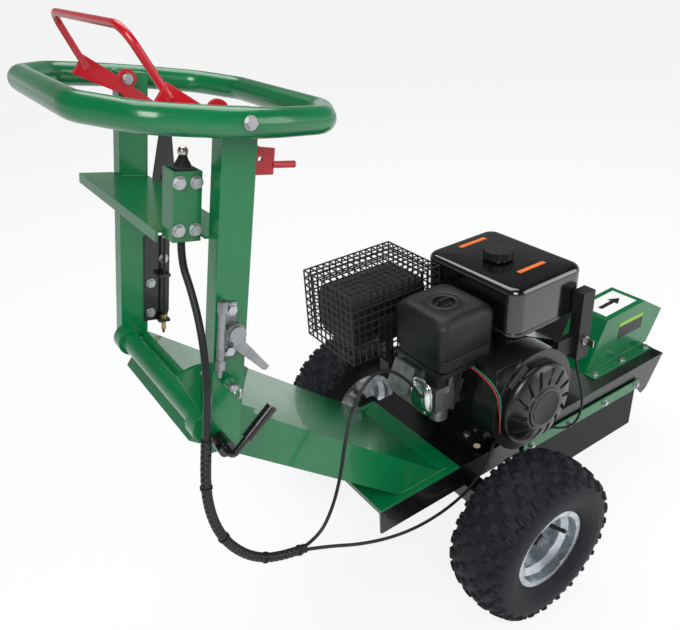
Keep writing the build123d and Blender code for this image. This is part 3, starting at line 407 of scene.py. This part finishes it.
def lay_cord(name, node, points, radius, length, body):
    """A cord on its solid's own route; its length is printed beside the length that the solid was built with.
    """
    cord = route(name, points, radius)
    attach(cord, body)
    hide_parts(node)
    print(name, "measures", round(length_of(centreline(points)), 4), "declared", length)
    return cord


lay_cord("switch_lead", "switch_conduit", handle(CONDUIT), 0.006, 0.329, "handle")
lay_cord("throttle_line", "throttle_cable", deck(THROTTLE), 0.0035, 0.654, "chassis")
lay_cord("stop_lead", "stop_wire", deck(STOP), 0.0035, 0.625, "chassis")
lay_cord("key_lead", "key_wire", deck(KEY), 0.003, 0.273, "chassis")


# %% [markdown]
# Where the cords leave the handle they are bound in spiral wrap, a plastic ribbon wound round the bundle.
# It is a tube whose radius rises and falls along a helix. The tube's frame is carried along the line
# without twisting.

# %% Spiral wrap
def tube_frames(line):
    """Unit tangents, and two directions across them that turn as little as the line does."""
    tangent = np.gradient(line, axis=0)
    tangent /= np.linalg.norm(tangent, axis=1)[:, None]
    across = np.cross(tangent, [0.0, 1.0, 0.0])
    across /= np.linalg.norm(across, axis=1)[:, None]
    return tangent, across, np.cross(tangent, across)


def resampled(line, count):
    """The same line with its points evenly spaced."""
    travel = np.r_[0, np.cumsum(np.linalg.norm(np.diff(line, axis=0), axis=1))]
    even = np.linspace(0, travel[-1], count)
    return np.stack([np.interp(even, travel, line[:, k]) for k in range(3)], -1), even


def wrapped_tube(name, line, radius, pitch, groove, body, finish):
    """p(t, s) = line(s) + r(t, s) (cos t a + sin t b), r dipping where the helix t = 2 pi s / pitch passes."""
    line, travel = resampled(line, 420)
    tangent, a, b = tube_frames(line)
    t = np.linspace(0, 2 * pi, 24, endpoint=False)
    phase = np.cos(t[:, None] - 2 * pi * travel[None, :] / pitch)
    r = radius - groove * np.clip(phase - 0.6, 0, None) / 0.4
    around = np.cos(t)[:, None, None] * a[None] + np.sin(t)[:, None, None] * b[None]
    grid = line[None] + r[..., None] * around
    return sheet_mesh(name, grid, body, finish, capped=True), line


loom_line = centreline(deck(LOOM))
# Two points where the loom starts and ends its bend; given in place of a body name, they leave the loom and its
# ties on no body.
ACROSS_FOLD = (deck((-352, -250, 170)), deck((-392.8, -247, 458.7)))
loom, loom_path = wrapped_tube("loom_wrap", loom_line, 0.009, 0.011, 0.0022, ACROSS_FOLD, sheath)
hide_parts("wiring_loom")
deck(LOOM)[0]
print("loom length", round(length_of(loom_path), 3))


# %% [markdown]
# The tyre is one surface over the angle round the wheel and the distance across the tread. Its section is
# a smooth curve through a few points from bead to bead. The lugs are a height pushed out along the
# surface, so they have real depth: long hexagons in two slanted rows, and notched blocks on each
# shoulder.

# %% Tyres
TYRE_SECTION = [(-50, 99.5), (-61, 102), (-71, 112), (-79, 130), (-81, 150), (-77, 168), (-67, 181), (-46, 190),
                (-22, 195), (0, 196.5)]
LUGS_ROUND, LUG_HEIGHT = 24, 6.4


def smooth_line(points, count):
    """Catmull-Rom curve: each stretch is a cubic through its two ends, with slopes from their neighbours."""
    p = np.asarray(points, float)
    p = np.vstack([2 * p[0] - p[1], p, 2 * p[-1] - p[-2]])
    s = np.linspace(0, len(p) - 3 - 1e-9, count)
    k = s.astype(int)
    t = (s - k)[:, None]
    a, b, c, d = p[k], p[k + 1], p[k + 2], p[k + 3]
    return 0.5 * (2 * b + (c - a) * t + (2 * a - 5 * b + 4 * c - d) * t**2 + (3 * b - a - 3 * c + d) * t**3)


def hexagon(along, across, at, size, tilt):
    """Height 1 inside a long hexagon, 0 outside, with a 2 mm slope: |v| < h and |u|/l + 0.45|v|/h < 1."""
    c, s = cos(tilt), sin(tilt)
    u = (along - at[0]) * c + (across - at[1]) * s
    v = (across - at[1]) * c - (along - at[0]) * s
    inside = 1 - np.maximum(np.abs(v) / size[1], np.abs(u) / size[0] + 0.45 * np.abs(v) / size[1])
    return np.clip(inside * size[1] / 1.6 + 0.2, 0, 1)


def tread(theta, across):
    """Lug height over angle and distance across: each side repeats the same lugs, half a step apart."""
    pitch = 2 * pi * 200 / LUGS_ROUND
    height = np.zeros_like(theta)
    for side in (-1, 1):
        along = (theta * 200 + (side > 0) * pitch / 2) % pitch - pitch / 2
        b = across * side
        for shift in (-pitch, 0, pitch):
            big = hexagon(along + shift, b, (-9, 16), (15, 9.5), 0.35)
            small = hexagon(along + shift, b, (10, 38), (12.5, 8), 0.35)
            small = small * (1 - 0.6 * hexagon(along + shift, b, (10, 38), (4.5, 2.2), 0.35))
            block = hexagon(along + shift, b, (-10, 63), (15, 10), 1.3)
            notch = hexagon(along + shift, b, (-10, 66), (15, 1.6), 1.3)
            bar = hexagon(along + shift, b, (13, 74), (11, 7.5), 1.5)
            height = np.maximum.reduce([height, big, small, block * (1 - 0.6 * notch), bar])
    return height


def tyre(name, node, body, middle_y):
    """p(theta, s) = hub + (r + h n_r)(cos, sin) and y + h n_y, h the lug height and n the section's normal."""
    half = np.array(TYRE_SECTION, float)
    section = smooth_line(np.vstack([half, half[-2::-1] * [-1, 1]]), 92)
    slope = np.gradient(section, axis=0)
    normal = np.stack([-slope[:, 1], slope[:, 0]], -1)
    normal /= np.linalg.norm(normal, axis=1)[:, None]
    travel = np.r_[0, np.cumsum(np.linalg.norm(np.diff(section, axis=0), axis=1))]
    across = travel - travel[-1] / 2
    theta = np.linspace(0, 2 * pi, LUGS_ROUND * 38, endpoint=False)
    th, ac = np.meshgrid(theta, across, indexing="ij")
    lug = tread(th, ac) * LUG_HEIGHT * np.clip((98 - np.abs(ac)) / 14, 0, 1)
    seam = 0.8 * np.exp(-(ac / 0.8) ** 2)
    ribs = 0.7 * (np.abs(np.abs(ac) - 112) < 2.2) + 0.9 * (np.abs(np.abs(ac) - 130) < 1.8)
    h = lug + seam + ribs
    y = middle_y + section[None, :, 0] + h * normal[None, :, 0]
    r = section[None, :, 1] + h * normal[None, :, 1]
    grid = np.stack([296 + r * np.cos(th), y, -103 + r * np.sin(th)], -1)
    piece = sheet_mesh(name, deck(grid[:, ::-1]), body, tyre_rubber, round_v=True)
    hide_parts(node)
    print(name, "highest lug radius", round(float(r.max()), 1))
    return piece


tyre("tread_right", "tyre_right", "wheel_right", -352)
tyre("tread_left", "tyre_left", "wheel_left", 352)

# %% [markdown]
# The air filter's cover is a soft box: rings of a rounded rectangle, stacked from the ribbed skirt to the
# sloping shoulders, whose last rings turn into the round recess for the knob. Each ring is the one below
# it, moved in.

# %% Soft boxes
def soft_ring(half_x, half_y, corner, count=64):
    """Points round a rectangle with rounded corners: corner centre + c (cos t, sin t)."""
    t = (np.arange(count) + 0.5) * 2 * pi / count
    return np.stack([np.sign(np.cos(t)) * (half_x - corner) + corner * np.cos(t),
                     np.sign(np.sin(t)) * (half_y - corner) + corner * np.sin(t)], -1)


def stacked(middle, half, levels):
    """Rings at (height, inset, corner): p(t, k) = middle + ring(half - inset)."""
    rings = []
    for height, inset, corner in levels:
        flat = soft_ring(half[0] - inset, half[1] - inset, corner)
        rings.append(np.c_[flat + middle, np.full(len(flat), height)])
    return rings


def circle_ring(middle, radius, height, count=64):
    t = (np.arange(count) + 0.5) * 2 * pi / count
    return np.c_[middle[0] + radius * np.cos(t), middle[1] + radius * np.sin(t), np.full(count, height)]


skirt = [(264 + 2 * k, 7.5 - 0.24 * k + 1.3 * (k % 4 < 2), 18) for k in range(18)]
wall = [(300, 3.0, 21), (303, 1.6, 22), (340, 0.6, 23), (372, 0.0, 24), (378, 0.4, 24), (386, 4.0, 24),
        (394, 11.0, 26), (398, 16.0, 26), (400, 22.0, 26)]
cover_rings = stacked((284, -58), (84, 88), skirt + wall)
KNOB = (282, -60)
recess = ((41, 400), (39.5, 399.2), (38, 400), (27, 400), (25.5, 399), (25, 390.1), (14, 389.8), (1, 389.8))
cover_rings += [circle_ring(KNOB, r, h) for r, h in recess]
filter_grid = deck(np.stack(cover_rings, 1))
filter_box = crease(sheet_mesh("filter_box", filter_grid, "chassis", plastic, capped=True), 50)
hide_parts("filter_cover")
print("filter cover rings", len(cover_rings))

# %% [markdown]
# The rewind starter's housing is a shallow dome with slanted vents pressed into its slope. It is one
# polar surface: the radius runs in from the rim, and the vents are a depth taken off along the axle.

# %% Rewind starter housing
def vent_depth(angle, radius, count=14, slant=0.5):
    """1 in the middle of a vent and 0 outside; vents lean by slant times the distance in from the rim."""
    turn = (angle + slant * (radius - 80) / 80) * count / (2 * pi)
    from_middle = np.abs(turn - np.round(turn)) * 2 * pi / count * radius
    across = np.clip((5.2 - from_middle) / 1.2, 0, 1)
    along = np.clip((radius - 60) / 2, 0, 1) * np.clip((98 - radius) / 2, 0, 1)
    return across * along


def housing():
    """p(t, r) = axle + r (cos t, sin t), y from the dome's profile less the vents' depth."""
    profile = smooth_line([(-218, 108), (-226, 108.5), (-234, 107), (-241, 101), (-247, 90), (-252, 74),
                           (-254.5, 60), (-255, 54), (-258, 51), (-258, 30), (-258, 2)], 120)
    t = np.linspace(0, 2 * pi, 336, endpoint=False)
    angle, k = np.meshgrid(t, np.arange(len(profile)), indexing="ij")
    y, r = profile[k, 0], profile[k, 1]
    y = y + 7.0 * vent_depth(angle, r) * (y < -236)
    grid = np.stack([430 + r * np.cos(angle), y, 142 + r * np.sin(angle)], -1)
    return sheet_mesh("starter_housing", deck(grid), "chassis", engine_black, capped=True)


starter = crease(housing(), 40)
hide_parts("recoil_cover")
badge = [(0, 44), (1.6, 44), (1.6, 41), (1.1, 40), (1.1, 1)]
turned("housing_badge", (430, -257.6, 142), (0, -1, 0), badge, "chassis", plastic, 64)

# %% [markdown]
# Stickers are thin plates just proud of the metal. Their words are left out: a plain white plate with an
# arrow shows which way to push, and a plain dark one stands where the safety notes would be.

# %% Stickers and strips
def flat_colour(name, colour, roughness=0.35):
    """Printed film: an even ink with slight mottling."""
    f = Finish(name)
    mottle = f.noise(120.0, 3.0)
    body = f.mix(mottle * 0.3, (*colour, 1), (*(0.85 * c for c in colour), 1))
    return f.surface(body, roughness + 0.1 * mottle, mottle, 0.00003)


white_film = flat_colour("white_film", (0.80, 0.80, 0.78))
dark_film = flat_colour("dark_film", (0.012, 0.012, 0.012))
lime_film = flat_colour("lime_film", (0.25, 0.50, 0.02))
orange_film = flat_colour("orange_film", (0.75, 0.16, 0.01))


def film(name, outline, lift, body, finish):
    """A thin prism: the outline, and the same outline moved by lift."""
    base = np.asarray(outline, float)
    grid = np.stack([base, base + np.asarray(lift, float)], 1)
    return sheet_mesh(name, deck(grid), body, finish, capped=True, smooth=False)


def on_top(points):
    """Points on the cutter cover's sloping top: height = 150.1 + (x - 865) * 5 / 170."""
    p = np.asarray(points, float)
    return np.c_[p, 150.1 + (p[:, 0] - 865) * 5 / 170]


PLATE = [(880, -84), (1018, -84), (1018, -2), (880, -2)]
ARROW = [(905, -50), (962, -50), (962, -62), (996, -43), (962, -24), (962, -36), (905, -36)]
STRIP_HEIGHT = 435.05
film("arrow_plate", on_top(PLATE), (0, 0, 0.3), "chassis", white_film)
film("arrow", on_top(ARROW) + [0, 0, 0.3], (0, 0, 0.2), "chassis", dark_film)


def side_film(name, y, low, thickness, finish):
    """A plate on the cutter cover's side, from its lower edge up to the shared upper edge."""
    corners = ((925, low), (1035, low), (1035, 118), (925, 118))
    film(name, [(x, y, z) for x, z in corners], (0, -thickness, 0), "chassis", finish)


side_film("notice_plate", -101.1, 66, 0.3, dark_film)
side_film("notice_band", -101.4, 106, 0.2, lime_film)
for name, y in (("tank_strip_left", 80), ("tank_strip_right", -116)):
    corners = ((462, y - 6), (550, y - 6), (550, y + 6), (462, y + 6))
    film(name, [(*corner, STRIP_HEIGHT) for corner in corners], (0, 0, 0.25), "chassis", orange_film)
print("stickers laid")

# %% [markdown]
# A pressed metal cap, bright chromed, shields the carburettor on the operator's side. It is a shallow
# dome over a rounded outline, with a turned-back rim, and its thickness comes from a Solidify modifier.

# %% Carburettor shield
def shield():
    """p(u, v) = outline(u) scaled by v; its rise towards the operator is 1 - v^4, with two soft dents."""
    t = np.linspace(0, 2 * pi, 96, endpoint=False)
    v = np.linspace(0.02, 1.0, 40)
    tt, vv = np.meshgrid(t, v, indexing="ij")
    reach = (np.abs(np.cos(tt)) ** 2.6 + np.abs(np.sin(tt)) ** 2.6) ** (-1 / 2.6)
    y = -79 + 38 * vv * reach * np.cos(tt)
    z = 181 + 50 * vv * reach * np.sin(tt)
    rise = 20 * (1 - vv**4) + 3 * np.cos(2 * tt) * vv * (1 - vv) + 2.5 * (vv > 0.93)
    return sheet_mesh("carburettor_shield", deck(np.stack([203 - rise, y, z], -1)), "chassis", chrome)


cap = shield()
thick = cap.modifiers.new("thickness", "SOLIDIFY")
thick.thickness, thick.offset = 0.0012, 0
for k, (y, z) in enumerate(((-60, 216), (-98, 150))):
    screw = [(0, 6), (4, 6), (5.5, 4.5), (5.5, 0.5)]
    turned("shield_screw_%d" % k, (192, y, z), (-1, 0, 0), screw, "chassis", zinc, 24)

# %% Small turned pieces
boot = [(0, 17), (1.5, 17), (4, 13), (8, 11.5), (14, 8), (19, 6.2), (19, 5.2), (8, 9), (2, 12), (0, 12)]
turned("switch_boot", handle_mm((-44, -170, 431.5)), up_post, boot, "handle", rubber, 40)
for name, at, size in (("cable_adjuster_top", 214, 9), ("cable_adjuster_foot", 12, 8)):
    thread = [(2 + 1.2 * k, size - 3 - 0.5 * (k % 2)) for k in range(18)]
    nut = [(24, size - 2), (25, size), (32, size), (33, size - 1.5), (33, 3.2)]
    adjuster = [(0, 3.2), (0, size - 3)] + thread + nut
    turned(name, handle_mm((72, 180, at)), up_post, adjuster, "handle", yellow_zinc, 24)
valve = [(0, 6), (8, 6), (12, 4.6), (26, 4.2), (27, 5), (38, 5), (39, 4), (39, 0.5)]
for side, body in ((-1, "wheel_right"), (1, "wheel_left")):
    turned("valve_" + body, (317, side * 392, -59), (0.12, side * 0.95, 0.2), valve, body, rubber, 24)
washer = [(0, 4), (0, 8.5), (1.6, 8.5), (1.6, 4)]
cream = flat_colour("cream_washer", (0.6, 0.5, 0.33))
turned("foot_washer", (322, -146, 10.3), (0, 0, 1), washer, "chassis", cream, 32)


# %% [markdown]
# Welds are left visible where the shelf meets the posts, where the tongue meets its plate, and along both sides
# of the cutter cover's foot. A weld is a row of small overlapping pools, so its tube swells and shrinks along
# the seam.

# %% Weld beads
def bead(name, start, end, body, finish, radius=3.4, pool=5.0, place=deck):
    """p(t, s) = start + s (end - start) + r(s) (cos t, sin t), r swelling once for each pool."""
    a, b = np.asarray(start, float), np.asarray(end, float)
    along = b - a
    length = np.linalg.norm(along)
    n = along / length
    side = np.cross(n, [0.31, 0.22, 0.92])
    side /= np.linalg.norm(side)
    up = np.cross(n, side)
    s = np.linspace(0, 1, int(length / pool) * 8 + 1)
    ripple = np.abs(np.sin(pi * s * length / pool))
    wander = 0.5 * np.sin(s * 17.0) + 0.3 * np.sin(s * 41.0)
    r = radius * (0.82 + 0.2 * ripple) * np.clip(np.minimum(s, 1 - s) * length / 3, 0.05, 1) + 0.2 * wander
    t = np.linspace(0, 2 * pi, 10, endpoint=False)
    ring = np.cos(t)[:, None, None] * side + np.sin(t)[:, None, None] * up
    grid = a + s[None, :, None] * along + r[None, :, None] * ring
    return sheet_mesh(name, place(grid), body, finish, capped=True)


def same(points):
    """Leaves points in metres as they are."""
    return points


for side, word in ((-1, "right"), (1, "left")):
    ends = [handle_mm((forward, side * 194.5, 337)) for forward in (-10, 41)]
    bead("shelf_weld_" + word, *ends, "handle", green)
    bead("tongue_weld_" + word, (70, side * 155.5, 7), (214, side * 155.5, 7), "chassis", green, 4.0, 6.0)
bead("cover_weld_right", (800, -102, 4), (1050, -102, 4), "chassis", green, 3.0)
bead("cover_weld_left", (800, 15, 4), (1050, 15, 4), "chassis", green, 3.0)
BAND = [(-0.0022, 0.0090), (-0.0022, 0.0106), (0.0022, 0.0106), (0.0022, 0.0090)]
for k, step in enumerate((90, 210, 330, 405)):
    along = loom_path[step + 4] - loom_path[step - 4]
    turned("cable_tie_%d" % k, loom_path[step], along, BAND, ACROSS_FOLD, plastic, 32, same)
print("trim made")

# %% [markdown]
# Two thin leads, red and green, run from under the air filter to the ignition coil behind the starter
# housing.

# %% Ignition leads
red_film = flat_colour("red_sheath", (0.45, 0.01, 0.02), 0.4)
green_film = flat_colour("green_sheath", (0.0, 0.22, 0.12), 0.4)
for name, shift, film_colour in (("red_lead", 0, red_film), ("green_lead", 6, green_film)):
    points = deck([(286 + shift, -150, 262), (288 + shift, -172, 258), (292 + shift, -206, 244),
                   (299 + shift, -224, 216), (306 + shift, -226, 176), (313, -224, 136), (316, -222, 100)])
    lead = route(name, points, 0.0014)
    lead.data.materials[0] = film_colour
    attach(lead, "chassis")
    length_of(centreline(points))

# %% [markdown]
# The room is a plain studio: a pale floor that keeps the shadow, a white surround that only cameras and
# reflections see, and three large soft lamps. Large lamps give long soft highlights along tubes and
# edges.

# %% Floor and surround
def studio_white(name, ground):
    """Diffuse where light falls, and white glow towards the camera and in reflections."""
    f = Finish(name)
    camera_ray, glossy_ray, through_ray = [f.node("LightPath", out=k) for k in (0, 3, 6)]
    share = camera_ray * 0.84 + glossy_ray * 0.30 + through_ray * 0.30
    diffuse = f.node("BsdfDiffuse", {}, {"Color": (ground, ground, ground, 1)})
    glow = f.node("Emission", {}, {"Color": (1, 1, 1, 1), "Strength": 1.0})
    both = f.node("MixShader", {}, {0: share, 1: diffuse, 2: glow})
    f.node("OutputMaterial", {}, {"Surface": both})
    return f.material


bpy.ops.mesh.primitive_plane_add(size=120, location=(0, 0, -0.0005))
floor = bpy.context.object
floor.name = "floor"
floor.data.materials.append(studio_white("floor_paint", 0.85))

world = bpy.data.worlds.new("studio")
bpy.context.scene.world = world
world.use_nodes = True
tree = world.node_tree
tree.nodes.clear()
paths = tree.nodes.new("ShaderNodeLightPath")
either = tree.nodes.new("ShaderNodeMath")
either.operation = "MAXIMUM"
tree.links.new(paths.outputs["Is Camera Ray"], either.inputs[0])
tree.links.new(paths.outputs["Is Glossy Ray"], either.inputs[1])
any_ray = tree.nodes.new("ShaderNodeMath")
any_ray.operation = "MAXIMUM"
tree.links.new(either.outputs[0], any_ray.inputs[0])
tree.links.new(paths.outputs["Is Transmission Ray"], any_ray.inputs[1])
height = tree.nodes.new("ShaderNodeTexCoord")
split = tree.nodes.new("ShaderNodeSeparateXYZ")
tree.links.new(height.outputs["Generated"], split.inputs[0])
ceiling = tree.nodes.new("ShaderNodeValToRGB")
ceiling.color_ramp.elements[0].position, ceiling.color_ramp.elements[0].color = 0.0, (0.8, 0.8, 0.8, 1)
ceiling.color_ramp.elements[1].position, ceiling.color_ramp.elements[1].color = 0.5, (0.06, 0.06, 0.065, 1)
halfway = ceiling.color_ramp.elements.new(0.14)
halfway.color = (0.30, 0.30, 0.31, 1)
tree.links.new(split.outputs["Z"], ceiling.inputs[0])


def pick(share, a, b):
    """Colour a where share is 0 and b where it is 1."""
    mix = tree.nodes.new("ShaderNodeMix")
    mix.data_type = "RGBA"
    for socket, value in ((mix.inputs[0], share), (mix.inputs[6], a), (mix.inputs[7], b)):
        if isinstance(value, tuple):
            socket.default_value = value
        else:
            tree.links.new(value, socket)
    return mix.outputs[2]


plain = pick(any_ray.outputs[0], (0.42, 0.43, 0.45, 1), ceiling.outputs[0])
shown = pick(paths.outputs["Is Camera Ray"], plain, (1, 1, 1, 1))
sky = tree.nodes.new("ShaderNodeBackground")
tree.links.new(shown, sky.inputs["Color"])
out = tree.nodes.new("ShaderNodeOutputWorld")
tree.links.new(sky.outputs[0], out.inputs["Surface"])


def lamp(name, at, towards, size, power):
    """A square soft lamp that faces a point."""
    data = bpy.data.lights.new(name, "AREA")
    data.size = size
    data.energy = power
    lit = bpy.data.objects.new(name, data)
    lit.location = at
    lit.rotation_euler = (Vector(towards) - lit.location).to_track_quat("-Z", "Y").to_euler()
    bpy.context.scene.collection.objects.link(lit)


lamp("key", (-2.2, -2.6, 3.4), (0, 0, 0.5), 2.0, 120)
lamp("fill", (2.6, -2.8, 2.0), (0, 0, 0.4), 2.4, 55)
lamp("top", (0.4, 1.2, 3.6), (0, 0, 0.5), 2.6, 70)

# %% [markdown]
# The camera stands behind and to the right of the machine, a little above the handle, and looks down on
# it.

# %% Camera
camera = bpy.data.objects.new("camera", bpy.data.cameras.new("camera"))
camera.data.lens = 37.08
camera.data.sensor_width = 36
camera.location = (-1.0132, -1.1134, 1.4695)
camera.rotation_euler = Euler((radians(60.905), radians(3.229), radians(-34.699)), "XYZ")
bpy.context.scene.collection.objects.link(camera)
bpy.context.scene.camera = camera
bpy.context.scene.view_settings.view_transform = "Standard"
